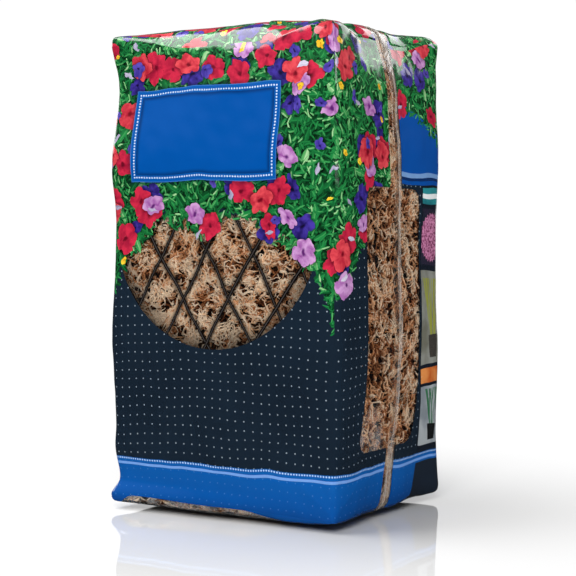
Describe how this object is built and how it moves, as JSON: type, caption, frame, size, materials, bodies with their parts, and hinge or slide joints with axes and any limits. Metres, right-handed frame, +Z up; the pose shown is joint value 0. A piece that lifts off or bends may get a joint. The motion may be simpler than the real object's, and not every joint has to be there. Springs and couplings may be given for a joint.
{
  "type": "bag of sphagnum moss",
  "caption": "Upright block-shaped film bag, printed with clear windows, folded and sealed at top and bottom, packed tight with dried long-fibred moss.",
  "frame": {"origin": "on the surface that the bag stands on, under the middle of the bag", "axes": "+Z up the bag, the front face with the half-round window towards -Y, the seam side towards +X"},
  "size_m": [0.1727, 0.1492, 0.3127],
  "materials": {
    "moss": "dry, tangled plant fibre, cream to brown",
    "printed_film": "glossy printed plastic film",
    "clear_film": "glossy clear plastic film"
  },
  "bodies": {
    "root": {"moss_bale": "moss", "film_print": "printed_film", "film_window_front": "clear_film", "film_window_right": "clear_film", "film_window_left": "clear_film", "film_base": "clear_film"}
  },
  "joints": []
}
